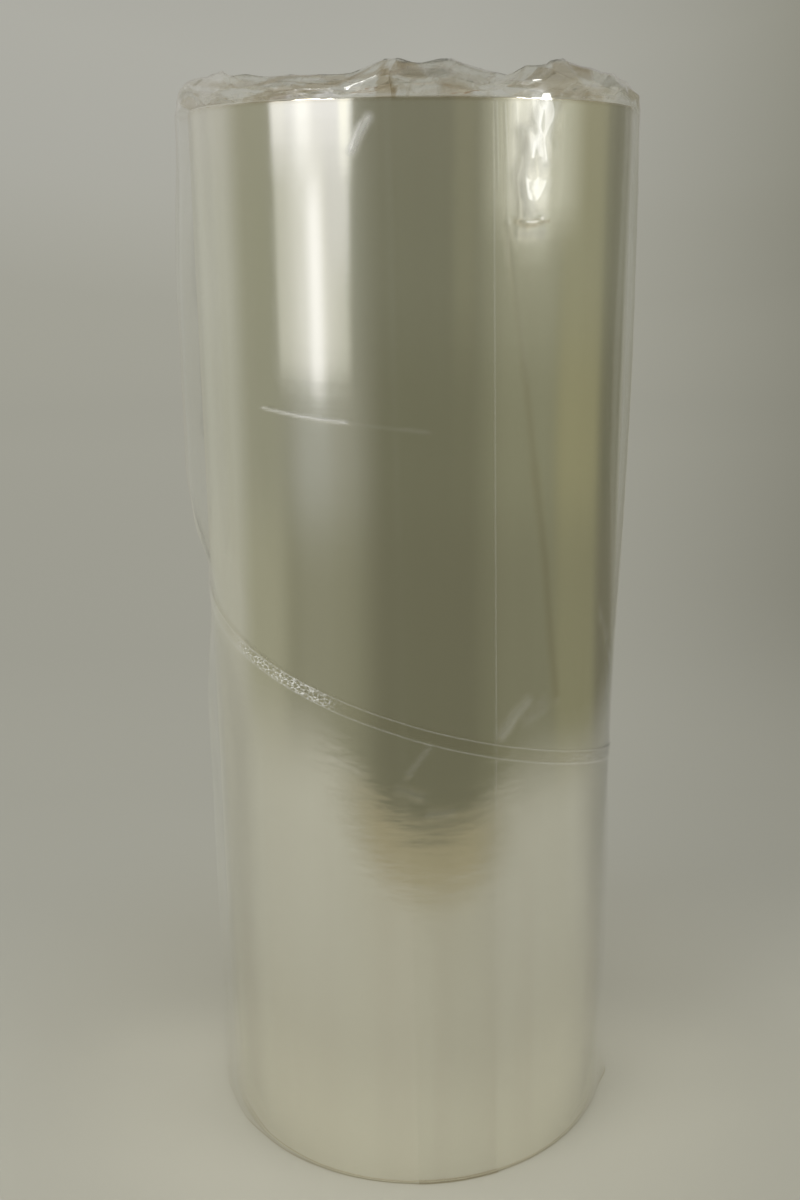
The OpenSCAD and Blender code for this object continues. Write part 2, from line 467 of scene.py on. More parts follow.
def clear_film(name, haze_and_highlight_colour, tint, least):
    """Thin clear film that mirrors the least share where it faces the view, and more at a slant.

    Its attributes mark where it is milky, which also paints highlights, where it lies folded, which
    also paints shade, and where it has more layers to mirror (gloss).
    """
    material = bpy.data.materials.new(name)
    g = Graph(material)
    haze_and_highlight, fold_and_shade, layers = (
        g.add("ShaderNodeAttribute", attribute_name=key).outputs["Fac"] for key in FILM_MARKS
    )
    crinkle = g.noise(g.stretched(CRINKLE_STRETCH), CRINKLE_SCALE, CRINKLE_DETAIL)
    normal = g.bump(crinkle, CRINKLE_DEPTH, CRINKLE_STRENGTH)
    facing = g.add("ShaderNodeLayerWeight", {"Blend": 0.5, "Normal": normal}).outputs["Facing"]
    slant = g.math("POWER", facing, SLANT_POWER)
    mirror = g.math("MULTIPLY_ADD", slant, 1 - least, least, clamp=True)
    mirror = g.math("ADD", mirror, layers, clamp=True)
    # The fold tint, which also paints shade in creases and along the hem and the rim
    through = g.mix(fold_and_shade, tint, FOLD_AND_SHADE_TINT)
    clear = g.add("ShaderNodeBsdfTransparent", {"Color": through}).outputs[0]
    # Milky haze, which also paints highlights along edges, ridges and bubbles
    milky_highlight = g.add("ShaderNodeBsdfDiffuse", {"Color": haze_and_highlight_colour}).outputs[0]
    body = g.mix_shader(haze_and_highlight, clear, milky_highlight)
    inputs = {"Color": WHITE, "Roughness": GLOSS_ROUGHNESS, "Normal": normal}
    gloss = g.add("ShaderNodeBsdfGlossy", inputs).outputs[0]
    g.surface(g.mix_shader(mirror, body, gloss))
    return material


# The core's board: how far its seam climbs in a turn, in metres, its browns, and the scale and
# detail of its fibres, blotches and plies
SEAM_CLIMB = 0.11
SEAM_WIDTH = 0.012
BOARD_TINTS = colour(0.42, 0.29, 0.175), colour(0.52, 0.375, 0.24)
PLY_TINT = colour(0.36, 0.24, 0.14)
SEAM_TINT = colour(0.22, 0.14, 0.08)
FIBRES, BLOTCHES, PLIES = (700.0, 6.0), (40.0,), (2600.0, 1.0)
BLOTCH_RANGE, PLY_RANGE = (0.3, 0.7), (0.35, 0.6)
FIBRE_SHARE = 0.3
BOARD_RELIEF = 0.0003
BOARD_ROUGHNESS = 0.85


def cardboard():
    """Spiral-wound board: a seam that climbs round the tube, fibres, and plies at its ends."""
    material = bpy.data.materials.new("core_board")
    g = Graph(material)
    angle, radius, z = g.polar()
    climb = g.math("ADD", g.math("DIVIDE", z, SEAM_CLIMB), g.math("DIVIDE", angle, 360.0))
    off_seam = g.math("ABSOLUTE", g.math("SUBTRACT", g.math("FRACT", climb), 0.5))
    seam = g.smooth(off_seam, 0.0, SEAM_WIDTH)
    fibres = g.noise(g.place(), *FIBRES)
    blotches = g.noise(g.place(), *BLOTCHES)
    plies = g.rings(radius, *PLIES)
    brown = g.mix(g.smooth(blotches, *BLOTCH_RANGE), *BOARD_TINTS)
    brown = g.mix(g.smooth(plies, *PLY_RANGE), brown, PLY_TINT)
    brown = g.mix(seam, SEAM_TINT, brown)
    height = g.math("ADD", seam, g.times(fibres, FIBRE_SHARE))
    shader = g.add("ShaderNodeBsdfPrincipled", {
        "Base Color": brown,
        "Roughness": BOARD_ROUGHNESS,
        "Normal": g.bump(height, BOARD_RELIEF),
    })
    g.surface(shader.outputs[0])
    return material


# The wound film: a fine lathe of the CAD's own form, with the rings of its turns on both ends

TURN_BANDS = 9
TURN_STEP = 0.8
RING_RELIEF = 0.12
RING_STEPS = 6
RING_START, RING_WAVES = 211, 900
RIM_ROUND = 0.9
RIM_STEPS = 3
WALL_EDGE = 0.4
WALL_ROWS = 26
LATHE_SEGMENTS = 384
SHARP_FROM = math.radians(30)
FLAT_FROM = 0.5


def band_depth(i):
    if i == TURN_BANDS - 1:
        return 0
    return TURN_STEP * (0.5 + 0.5 * math.sin(math.radians(i * GOLDEN_ANGLE)))


def end_profile():
    """Radius and depth below the end face, from the core to the rim."""
    points = []
    rim = ROLL_R - RIM_ROUND
    for i in range(TURN_BANDS):
        start, end = (CORE_R + (ROLL_R - CORE_R) * k / TURN_BANDS for k in (i, i + 1))
        for t in np.linspace(0, 1, RING_STEPS):
            wave = math.radians(i * RING_START + t * RING_WAVES)
            ring = RING_RELIEF * abs(math.sin(wave)) if 0 < t < 1 else 0
            points.append((min(start + (end - start) * t, rim), band_depth(i) + ring))
    for t in np.radians([90 * k / RIM_STEPS for k in range(1, RIM_STEPS + 1)]):
        points.append((rim + RIM_ROUND * math.sin(t), RIM_ROUND - RIM_ROUND * math.cos(t)))
    return points


def build_wound_film():
    lower = end_profile()
    foot = RIM_ROUND + WALL_EDGE
    wall = [(ROLL_R, z) for z in np.linspace(foot, FILM_WIDTH - RIM_ROUND - WALL_EDGE, WALL_ROWS)]
    upper = [(r, FILM_WIDTH - depth) for r, depth in reversed(lower)]
    profile = np.array(lower + wall + upper)
    points = lathe(profile, LATHE_SEGMENTS)
    points = np.concatenate([points, points[:1]])
    faces = grid_faces(len(profile) + 1, LATHE_SEGMENTS, closed=True)
    roll = add_mesh("wound_film", points, faces, wound_film())
    roll.data.materials.append(film_edges())
    roll.data.set_sharp_from_angle(angle=SHARP_FROM)
    flat = [abs(p.normal.z) > FLAT_FROM for p in roll.data.polygons]
    roll.data.polygons.foreach_set("material_index", flat)
    return roll


# The sleeve: one sheet wound round the roll, whose outer end laps over its inner end. Its columns
# and rows lie close where creases are fine: up to which angle or height, and how far apart.

FINE, MIDDLE, COARSE = 0.24, 0.75, 2.2
SPACINGS = [(-76, COARSE), (13, MIDDLE), (45, FINE), (82, MIDDLE), (180, COARSE)]
ROW_SPACINGS = [(2.5, 0.6), (185, 5), (262, 1.7), (365, 4), (380, 0.8), (440, 4), (FILM_WIDTH, 1.4)]
ROW_MARGIN = 1.2
CROWN_STEPS = 5
# Numbers that put each cell's point at a place of its own
CELL_SCATTER = (12.9898, 78.233, 0), (39.346, 11.135, 5)
SHEET_LIFT = 0.15
LAYER_LIFT = 0.45


def spaced(start, end, spacing_at):
    values = [start]
    while values[-1] < end:
        values.append(values[-1] + spacing_at(values[-1]))
    values[-1] = end
    return np.array(values)


def spacing_from(table, value):
    return next(step for limit, step in table if value <= limit)


def cells(x, y, size, seed):
    """Scattered cells of that size: ridges between them, from 0 to 1, and each cell's number."""
    x, y = x / size, y / size
    column, row = np.floor(x), np.floor(y)
    first = np.full(np.shape(x + y), np.inf)
    second, cell = first.copy(), first.copy()
    for di in (-1, 0, 1):
        for dj in (-1, 0, 1):
            i, j = column + di, row + dj
            s, t = (SCATTER_SIZE * np.sin(i * p + j * q + seed + k) for p, q, k in CELL_SCATTER)
            s, t = s - np.floor(s), t - np.floor(t)
            d = np.hypot(i + s - x, j + t - y)
            cell = np.where(d < first, s, cell)
            second = np.minimum(second, np.maximum(first, d))
            first = np.minimum(first, d)
    return 1 - np.clip(second - first, 0, 1), cell


# Creases on the front: corners as angle and height, half width, how far they stand out, how milky
# they are with painted highlight, how folded they are with painted shade, and how glossy they are
CREASES = [
    ([(-38.5, 378), (-27, 375.5), (-15.3, 373.9)], 0.5, 0.4, 0.45, 0, 0.15),
    ([(-15.3, 373.9), (4.2, 370.4)], 0.6, 0.1, 0.03, 0, 0),
    ([(31.2, 354), (35.2, 311), (38.3, 268), (40.3, 246)], 2.2, 0.35, 0, 0.2, 0),
    ([(27.6, 398), (30.3, 364), (32, 346)], 1.8, 0.3, 0, 0.15, 0),
    ([(22.6, 452), (25.2, 424), (28.2, 390)], 1.3, 0.2, 0.02, 0.1, 0.03),
    ([(19.2, 498), (19.8, 466)], 0.5, 0.15, 0.04, 0, 0.03),
    ([(21.2, 497), (22, 472), (22.6, 440)], 0.5, 0.15, 0.05, 0, 0.03),
    ([(24, 497), (24.6, 468)], 0.6, 0.2, 0.05, 0, 0.03),
    ([(-13.1, 480), (-11.4, 486.5), (-9.3, 492)], 1.7, 0.2, 0.55, 0, 0.18),
    ([(31.6, 499), (29.4, 488), (27.6, 480), (25.6, 470), (26.6, 462), (27.5, 456)],
     3.4, 0.7, 0.3, 0, 0.3),
    ([(26, 487), (27, 478)], 3.0, 0.6, 0.25, 0, 0.25),
    ([(35, 497), (32, 486), (31, 474)], 2.8, 0.6, 0.22, 0, 0.25),
    ([(25, 453.5), (27.7, 451.2), (33, 453.4)], 0.8, 0.6, 0.04, 0.5, 0),
    ([(26.2, 448.6), (31.4, 448.6)], 3.2, 0.4, 0.16, 0, 0.15),
    ([(23, 234), (26.6, 242), (30.4, 247)], 2.4, 0.5, 0.1, 0, 0.07),
    ([(30.5, 240), (35, 243)], 4, 0.3, 0.05, 0.1, 0.05),
    ([(3.8, 231), (0, 221.6), (-1.6, 217.7)], 1.4, 0.25, 0.03, 0, 0.04),
    ([(-3.8, 211), (1.8, 207.5)], 2.0, 0.25, 0.02, 0, 0.04),
    ([(3.8, 198.6), (9.8, 199)], 1.8, 0.2, 0.02, 0, 0.03),
    ([(-21, 224), (-13, 219)], 2.2, 0.35, 0.02, 0, 0.05),
    ([(59, 278), (63, 268), (66, 262)], 1.2, 0.5, 0.08, 0, 0.1),
    ([(64, 262), (68, 252), (71, 240)], 1.2, 0.5, 0.08, 0, 0.1),
]
# The glossy pocket under the crown: its middle and half width in degrees at its foot and its top
POCKET_Z = (444, 498)
POCKET_MIDDLE = (28.0, 32.5)
POCKET_HALF = (3.5, 6.5)
# The lap edge's painted highlight: how wide it shines, how milky it is, how much more higher up,
# and where that begins
LAP_EDGE_HALF = 0.45
LAP_HIGHLIGHT, LAP_HIGHLIGHT_MORE = 0.01, 0.12
LAP_FADE = (165, 240)
MOST_HAZE_AND_HIGHLIGHT = 0.8
# The folded triangle in the crown: the angles of its foot's ends and of its point, and its rise
TRIANGLE = ((-8.0, -2.4), -6.3, 13.5)
TRIANGLE_EDGE = 0.25
# It shows on the near part of the crown's way in alone
NEAR_HALF, NEAR_EDGE = 0.5, 0.05
# Painted shade: a contact shadow along the hem and a dark line over the rim; their widths, and
# the rim's strength
HEM_SHADE_WIDTH = 0.6
RIM_SHADE_WIDTH = 1.2
RIM_SHADE = 0.5
# Crumples of the sleeve's body: how heights are squeezed, size and seed, and how far they stand out
FINE_CELLS, BROAD_CELLS = (0.6, 9, 1), (0.5, 26, 2)
BROAD_LEAN = 0.3
FINE_RELIEF, FINE_POCKET, FINE_LOOSE, FINE_TAPE = 0.02, 0.6, 0.2, 0.06
BROAD_RELIEF, BROAD_LOOSE = 0.1, 0.5
NEAR_TAPE = 22
POCKET_RISE = 10
# The pocket's painted highlight along its fine ridges, and its gloss
POCKET_HIGHLIGHT, POCKET_GLOSS = 0.06, 0.17
# Crumples of the crown: length of its way in, narrowing towards the core, size, seed and relief
CROWN_WAY, CROWN_NARROWS = 80, 0.4
CROWN_CELL, CROWN_CELL_SEED = 15, 3
CROWN_RELIEF = 0.9
CROWN_RELIEF_RISE = 6
# Its marks: a least share, a share at the ridges, and how sharp those are. The haze at the ridges
# is partly a painted highlight, and the fold tint there is painted shade.
CROWN_HAZE_AND_HIGHLIGHT = (0.01, 0.22, 24)
CROWN_FOLD_AND_SHADE = (0, 0.7, 24)
CROWN_GLOSS = (0.03, 0.25, 16)
# Its folded patches: which cells, and how folded they are at the least and as their number grows
PATCH_FROM, PATCH_EDGE = 0.74, 0.03
PATCH_SHADE = (0.2, 0.7)


def crease_profile(a, z, corners, half):
    """1 on the line through the corners, falling to 0 at that distance from it."""
    nearest = np.full(np.shape(a + z), np.inf)
    for (a0, z0), (a1, z1) in zip(corners, corners[1:]):
        px, py = (a - a0) * ROUND_MM, z - z0
        dx, dy = (a1 - a0) * ROUND_MM, z1 - z0
        t = np.clip((px * dx + py * dy) / (dx * dx + dy * dy), 0, 1)
        nearest = np.minimum(nearest, np.hypot(px - t * dx, py - t * dy))
    return np.exp(-(nearest / half) ** 2)


def details(a, z):
    """How far creases and crumples stand out on the sleeve's body, and the film's marks there."""
    round_mm = a * ROUND_MM
    off = (a - np.interp(z, POCKET_Z, POCKET_MIDDLE)) / np.interp(z, POCKET_Z, POCKET_HALF)
    pocket = np.exp(-off ** 4) * ease((z - POCKET_Z[0]) / POCKET_RISE)
    loose = fold_share(a, z)
    near_tape = np.exp(-((z - crease_z(a)) / NEAR_TAPE) ** 2)
    squeeze, *fine_kind = FINE_CELLS
    fine, _ = cells(round_mm, z * squeeze, *fine_kind)
    squeeze, *broad_kind = BROAD_CELLS
    broad, _ = cells(round_mm + BROAD_LEAN * z, z * squeeze, *broad_kind)
    fine_share = FINE_RELIEF + FINE_POCKET * pocket + FINE_LOOSE * loose + FINE_TAPE * near_tape
    out = fine * fine_share + broad * (BROAD_RELIEF + BROAD_LOOSE * loose)
    # A painted highlight on the pocket's fine ridges
    haze_and_highlight = POCKET_HIGHLIGHT * pocket * fine ** 6
    # Painted contact shadow along the hem, and painted shade over the rim
    hem_shade = np.exp(-((z - HEM_Z) / HEM_SHADE_WIDTH) ** 2)
    rim = RIM_SHADE * np.exp(-((z - FILM_WIDTH) / RIM_SHADE_WIDTH) ** 2)
    fold_and_shade = np.maximum(hem_shade, rim) + 0 * out
    gloss = POCKET_GLOSS * pocket
    # Each crease adds haze, partly a painted highlight, and fold tint, partly painted shade
    for corners, half, height, milky_highlight, fold_and_shade_mark, shine in CREASES:
        profile = crease_profile(a, z, corners, half)
        out = out + height * profile
        haze_and_highlight = np.maximum(haze_and_highlight, milky_highlight * profile)
        fold_and_shade = np.maximum(fold_and_shade, fold_and_shade_mark * profile)
        gloss = np.maximum(gloss, shine * profile)
    return out, haze_and_highlight, fold_and_shade, gloss


def triangle_mark(points, way):
    """How folded the crown's near side is inside the triangle."""
    (left, right), top, rise = TRIANGLE
    a = np.degrees(np.arctan2(points[..., 0], -points[..., 1]))
    up = (points[..., 2] - FILM_WIDTH) / rise
    inside = np.minimum(a - left - (top - left) * up, right - (right - top) * up - a)
    near = ease((NEAR_HALF - way) / NEAR_EDGE) * (up < 1)
    return ease(inside / TRIANGLE_EDGE) * near


def between_stations(stations, steps):
    """Points on straight lines between the stations, which lie along the first axis."""
    shares = np.arange(steps) / steps
    rows = [a + (b - a) * t for a, b in zip(stations, stations[1:]) for t in shares]
    return np.array(rows + [stations[-1]])


def ridge_mark(ridges, least, share, power):
    return least + share * ridges ** power


def build_sleeve():
    start = (LAP_TOP + LAP_FOOT) / 2 - LAP_TURN
    turn = spaced(0, 360 + LAP_TURN, lambda s: spacing_from(SPACINGS, turn_from(start + s, 0)))
    u = turn - LAP_TURN
    z = spaced(HEM_Z, FILM_WIDTH - ROW_MARGIN, lambda v: spacing_from(ROW_SPACINGS, v))[:, None]
    a = turn_from(lap_angle(z) + u, 0)
    out, haze_and_highlight, fold_and_shade, gloss = details(a, z)
    body = to_xyz(INNER_R + stand_off(a, z) + out, a, z)
    stations = np.array([to_xyz(*crown_station(u, k)) for k in range(len(CROWN_PATH))])
    crown = between_stations(stations, CROWN_STEPS)
    way = np.linspace(0, 1, len(crown))[:, None]
    across = u * ROUND_MM * (1 - CROWN_NARROWS * way)
    ridges, cell = cells(across, way * CROWN_WAY, CROWN_CELL, CROWN_CELL_SEED)
    relief = ease(way * CROWN_RELIEF_RISE) * ridges * CROWN_RELIEF
    crown += normals_of(crown) * relief[..., None]
    grid = np.concatenate([body, crown])
    # Haze on the crown's ridges: milky layers, and a painted highlight
    haze_and_highlight = np.concatenate([haze_and_highlight, ridge_mark(ridges, *CROWN_HAZE_AND_HIGHLIGHT)])
    patches = ease((cell - PATCH_FROM) / PATCH_EDGE) * (PATCH_SHADE[0] + PATCH_SHADE[1] * cell)
    # The crown's fold lines, darkened with painted shade
    crease_fold_and_shade = ridge_mark(ridges, *CROWN_FOLD_AND_SHADE)
    crown_fold_and_shade = np.maximum.reduce([patches, crease_fold_and_shade, triangle_mark(crown, way)])
    fold_and_shade = np.concatenate([fold_and_shade, crown_fold_and_shade])
    gloss = np.concatenate([gloss, ridge_mark(ridges, *CROWN_GLOSS)])
    layer = ease((turn - 360) / LAP_RAMP + 1)
    grid += normals_of(grid) * (SHEET_LIFT + LAYER_LIFT * layer)[:, None]
    # A painted highlight along the lap edge
    edge = np.exp(-((turn[-1] - turn) * ROUND_MM / LAP_EDGE_HALF) ** 2)
    higher = ease((grid[..., 2] - LAP_FADE[0]) / (LAP_FADE[1] - LAP_FADE[0]))
    edge = edge * (LAP_HIGHLIGHT + LAP_HIGHLIGHT_MORE * higher)
    haze_and_highlight = np.clip(np.maximum(haze_and_highlight, edge), 0, MOST_HAZE_AND_HIGHLIGHT)
    marks = dict(zip(FILM_MARKS, (haze_and_highlight, fold_and_shade, gloss)))
    film = clear_film("clear_sleeve", *SLEEVE_FILM)
    return add_mesh("sleeve", grid, grid_faces(*grid.shape[:2]), film, marks)


# The tape: a strip laid along the helix, with hazy edges and two bubbly stretches, whose haze
# paints highlights

TAPE_STEP = 0.3
TAPE_ROWS = 17
TAPE_LIFT = 0.15
TAPE_EDGE = 0.35
# Bubbly stretches: middle and half width in degrees, and how strong
BUBBLY = [(-37, 16, 1.0), (58, 14, 0.25)]
BUBBLE = 0.35
BUBBLE_SIZE, BUBBLE_STRETCH, BUBBLE_SEED = 2.0, 0.8, 4
# Painted highlights: haze along the edges and on the bubbles' ridges, and their gloss
EDGE_HIGHLIGHT, EDGE_GLOSS, BUBBLE_GLOSS = 0.2, 0.05, 0.3
HIGHLIGHT_POWER, GLOSS_POWER = 16, 8
MOST_TAPE_HIGHLIGHT = 0.9


def build_tape():
    turn = spaced(-TAPE_REACH, TAPE_REACH, lambda a: TAPE_STEP)
    across = np.linspace(-TAPE_W / 2, TAPE_W / 2, TAPE_ROWS)[:, None]
    a = turn + across * math.sin(TAPE_SLANT) / ROUND_MM
    z = helix_z(turn) + across * math.cos(TAPE_SLANT)
    bubbly = np.max([
        np.exp(-(turn_from(turn, at) / width) ** 6) * share for at, width, share in BUBBLY
    ], axis=0)
    ridges, _ = cells(a * ROUND_MM * BUBBLE_STRETCH, z, BUBBLE_SIZE, BUBBLE_SEED)
    inside = 1 - (across / (TAPE_W / 2)) ** 4
    layers = bridged_layers(turn_from(turn, lap_angle(helix_z(turn))))
    bubbles = BUBBLE * bubbly * ridges * inside
    r = INNER_R + SLEEVE_T * layers + TAPE_GAP + TAPE_LIFT + bubbles
    rim = np.exp(-((TAPE_W / 2 - np.abs(across)) / TAPE_EDGE) ** 2)
    # Painted highlights along the edges and on the bubbles' ridges
    haze_and_highlight = EDGE_HIGHLIGHT * rim + bubbly * ridges ** HIGHLIGHT_POWER * inside
    haze_and_highlight = np.clip(haze_and_highlight, 0, MOST_TAPE_HIGHLIGHT)
    gloss = EDGE_GLOSS * rim + BUBBLE_GLOSS * bubbly * ridges ** GLOSS_POWER
    film = clear_film("clear_tape", *TAPE_FILM)
    marks = dict(zip(FILM_MARKS, (haze_and_highlight, 0 * haze_and_highlight, gloss)))
    return add_mesh("tape", to_xyz(r, a, z), grid_faces(TAPE_ROWS, len(turn)), film, marks)


roll = build_wound_film()
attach(roll, "root")
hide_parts("film_roll")

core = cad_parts["core"]
core.data.materials.clear()
core.data.materials.append(cardboard())

sleeve = build_sleeve()
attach(sleeve, "root")
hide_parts("overwrap")

tape = build_tape()
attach(tape, "root")
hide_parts("tape_band")


# Stage: a pale floor that sweeps up into a round backdrop, with painted light and shade in its
# colour

BOWL_R = 3.5
SWEEP_R = 0.9
SWEEP_STEPS = 17
BOWL_H = 2.4
BOWL_SEGMENTS = 96
FLOOR_RINGS = [(0.02, 0), (0.3, 0), (0.8, 0)]
# The backdrop's painted light: its tones by the way back along the floor and up the wall, in
# metres
PAINTED_LIGHT_TONES = [
    (0, 0.408), (0.08, 0.39), (0.2, 0.364), (0.35, 0.347), (0.7, 0.341), (1.9, 0.382),
    (3.3, 0.393), (3.8, 0.436), (4.3, 0.455), (4.6, 0.43),
]
PAINTED_LIGHT_REACH = 5
# Its tints on the floor and up the wall, of the painted light at the roll's foot, and of the
# painted shade on the right
FLOOR_TINT, WALL_TINT = colour(1, 0.985, 0.84), colour(1, 0.99, 0.885)
PAINTED_FOOT_TINT = colour(1.01, 0.98, 0.805)
PAINTED_SHADE_TINT = colour(0.58, 0.57, 0.45)
WALL_RANGE = (0.1, 0.7)
# A place's lean to the right is its x over its way back, which is cut off and counted from these
LEAN_START, LEAN_FROM = -0.3, 0.7
# Ranges in metres, each with the two values between which it goes. Painted light makes the floor
# brighter close in front of the roll's foot. Painted shade makes it dimmer to the right: near,
# farther back, up the wall and in front.
PAINTED_FOOT_RANGE = (0.12, 0.35, 1.0, 0.0)
BRIGHT_FOOT, BRIGHT_FRONT = (0.1, 0.22, 0.21, 0.0), (0.0, 0.08, 1.0, 0.0)
DIM_LEAN, DIM_NEAR, DIM_BACK = (0.08, 0.42), (0.0, 0.25, 0.05, 0.32), (0.2, 1.0, 0.0, 0.68)
DIM_ANY_LEAN, DIM_WALL, DIM_FRONT = (0.0, 0.15), (0.1, 0.45, 0.0, 0.17), (-0.03, 0.07, 0.12, 0.0)


def glossy_only(obj):
    obj.visible_camera = False
    obj.visible_diffuse = False
    obj.visible_shadow = False
    obj.visible_transmission = False


def painted_light_backdrop_material():
    material = bpy.data.materials.new("backdrop_with_painted_light")
    g = Graph(material)
    _, radius, z = g.polar()
    x, y, _ = g.apart(g.place())
    way_back = g.math("ADD", y, z)
    level = g.add("ShaderNodeValToRGB", {0: g.math("DIVIDE", way_back, float(PAINTED_LIGHT_REACH))})
    ramp = level.color_ramp.elements
    for way, tone in PAINTED_LIGHT_TONES:
        stop = ramp[0] if way == 0 else ramp.new(way / PAINTED_LIGHT_REACH)
        stop.color = colour(tone, tone, tone)
    ramp.remove(ramp[-1])
    # Painted light close in front of the roll's foot, where its shadow falls
    in_front = g.times(g.smooth(radius, *BRIGHT_FOOT), g.smooth(y, *BRIGHT_FRONT))
    painted_foot_light = g.math("ADD", in_front, 1.0)
    tint = g.mix(g.smooth(z, *WALL_RANGE), FLOOR_TINT, WALL_TINT)
    # The painted light's tint at the roll's foot
    tint = g.mix(g.smooth(radius, *PAINTED_FOOT_RANGE), tint, PAINTED_FOOT_TINT)
    # Painted shade to the right: near, farther back, up the wall and in front
    lean = g.math("DIVIDE", x, g.math("ADD", g.math("MAXIMUM", y, LEAN_START), LEAN_FROM))
    nearby = g.math("ADD", g.smooth(y, *DIM_NEAR), g.smooth(y, *DIM_BACK))
    painted_shade = g.times(g.smooth(lean, *DIM_LEAN), nearby)
    ends = g.math("ADD", g.smooth(z, *DIM_WALL), g.smooth(y, *DIM_FRONT))
    painted_shade = g.math("MULTIPLY_ADD", g.smooth(lean, *DIM_ANY_LEAN), ends, painted_shade)
    tint = g.mix(painted_shade, tint, PAINTED_SHADE_TINT)
    painted_light = g.times(level.outputs[0], painted_foot_light)
    shader = g.add("ShaderNodeBsdfDiffuse", {"Color": g.scaled(tint, painted_light)})
    g.surface(shader.outputs[0])
    return material


def build_backdrop():
    sweep = [
        (BOWL_R - SWEEP_R + SWEEP_R * math.sin(t), SWEEP_R - SWEEP_R * math.cos(t))
        for t in np.linspace(0, math.pi / 2, SWEEP_STEPS)
    ]
    profile = np.array(FLOOR_RINGS + sweep + [(BOWL_R, BOWL_H)]) / MM
    faces = grid_faces(len(profile), BOWL_SEGMENTS, closed=True)
    bowl = add_mesh("backdrop_with_painted_light", lathe(profile, BOWL_SEGMENTS), faces, painted_light_backdrop_material())
    bowl.visible_diffuse = False
    bowl.visible_shadow = False


# A painted reflection: the dim room in front of the roll, a glowing ring which only its gloss sees,
# at three levels: the near floor, the far floor and the walls. Each part of it: azimuth, half width
# and softness in degrees, and tints.
NEAR, FAR = 0, 1
PAINTED_ROOM = (0.152, 0.149, 0.101), (0.163, 0.162, 0.11), (0.187, 0.187, 0.135)
PAINTED_ROOM_PARTS = [
    (-85, 22, 24, (0.322, 0.318, 0.235), (0.29, 0.29, 0.22), (0.3, 0.3, 0.225)),
    (-46, 22, 26, (0.235, 0.232, 0.165), (0.3, 0.3, 0.245), (0.3, 0.305, 0.25)),
    (-51, 10, 16, (0.25, 0.247, 0.18), (0.355, 0.36, 0.315), (0.36, 0.36, 0.32)),
    (62, 24, 28, (0.191, 0.189, 0.128), (0.228, 0.228, 0.155), (0.3, 0.3, 0.221)),
    (100, 20, 12, (0.221, 0.2145, 0.136), (0.268, 0.258, 0.157), (0.285, 0.28, 0.19)),
    (136, 19, 14, (0.158, 0.152, 0.107), (0.152, 0.15, 0.104), (0.185, 0.184, 0.135)),
    (-152, 52, 18, (0.425, 0.42, 0.355), (0.42, 0.42, 0.36), (0.455, 0.455, 0.4)),
    (168, 16, 12, (0.33, 0.325, 0.27), (0.33, 0.325, 0.27), (0.33, 0.325, 0.28)),
    (-170, 18, 24, (0.375, 0.365, 0.305), (0.365, 0.355, 0.295), (0.38, 0.375, 0.32)),
    (26, 5, 6, (0.152, 0.149, 0.101), (0.167, 0.166, 0.112), (0.222, 0.22, 0.155)),
]
FAR_FLOOR_RANGE = (1.1, 1.9)
WALL_RISE = (0.05, 0.35)
# Painted windows and glints, glowing in the reflection: azimuth, half width and softness, lower and
# upper edge and their softness, and tint
PAINTED_WINDOWS = [
    (-50.5, 20, 4, 0.13, 1.3, 0.04, (0.55, 0.55, 0.48)),
    (-49, 11, 14, 0.13, 1.3, 0.04, (0.74, 0.74, 0.69)),
    (-36, 6, 4, 0.34, 1.3, 0.08, (0.68, 0.68, 0.65)),
    (-48, 3.5, 6, 0.105, 0.5, 0.04, (1.1, 1.1, 1.1)),
    (-49.5, 21.5, 3, 0.58, 1.3, 0.1, (0.95, 0.95, 0.97)),
    (-67, 4, 3, 0.6, 1.3, 0.09, (0.98, 0.98, 0.95)),
    (-53, 4, 6, 0.57, 1.3, 0.1, (1.2, 1.2, 1.2)),
    (-31.5, 2.5, 2, 0.545, 1.3, 0.06, (1.15, 1.15, 1.08)),
    (65, 23, 24, 0.42, 1.3, 0.05, (0.53, 0.53, 0.44)),
    (60.5, 11, 6, 0.46, 1.3, 0.05, (0.96, 0.96, 0.88)),
    (64, 6, 6, 0.45, 1.3, 0.05, (1.35, 1.35, 1.28)),
    (-50, 12, 2, 1.35, 1.85, 0.03, (6, 6, 5.8)),
    (66, 10, 2, 1.35, 1.85, 0.03, (6, 6, 5.8)),
]
RING_R = 2.2
RING_H = 2.2
RING_FOOT = -0.02
RING_HOLE = 0.01
RING_SEGMENTS = 120
# Its painted walls are bluer higher up, and dim again below the painted ceiling
PAINTED_SKY = (1.07, 1.05, 1.1)
SKY_RANGE = (0.4, 0.75)
PAINTED_CEILING = colour(0.2, 0.2, 0.17)
CEILING_RANGE = (RING_H - 0.3, RING_H - 0.1)


def near_azimuth(g, angle, at, half, soft):
    turned = g.math("WRAP", g.math("SUBTRACT", angle, float(at)), 180.0, -180.0)
    return g.smooth(g.math("ABSOLUTE", turned), half - soft / 2, half + soft / 2, 1.0, 0.0)


def painted_room_shade(g, angle, rising, level):
    """The painted room's glow round the roll, between this level and the next one."""
    shade = g.mix(rising, colour(*PAINTED_ROOM[level]), colour(*PAINTED_ROOM[level + 1]))
    for at, half, soft, *tints in PAINTED_ROOM_PARTS:
        tint = g.mix(rising, colour(*tints[level]), colour(*tints[level + 1]))
        shade = g.mix(near_azimuth(g, angle, at, half, soft), shade, tint)
    return shade


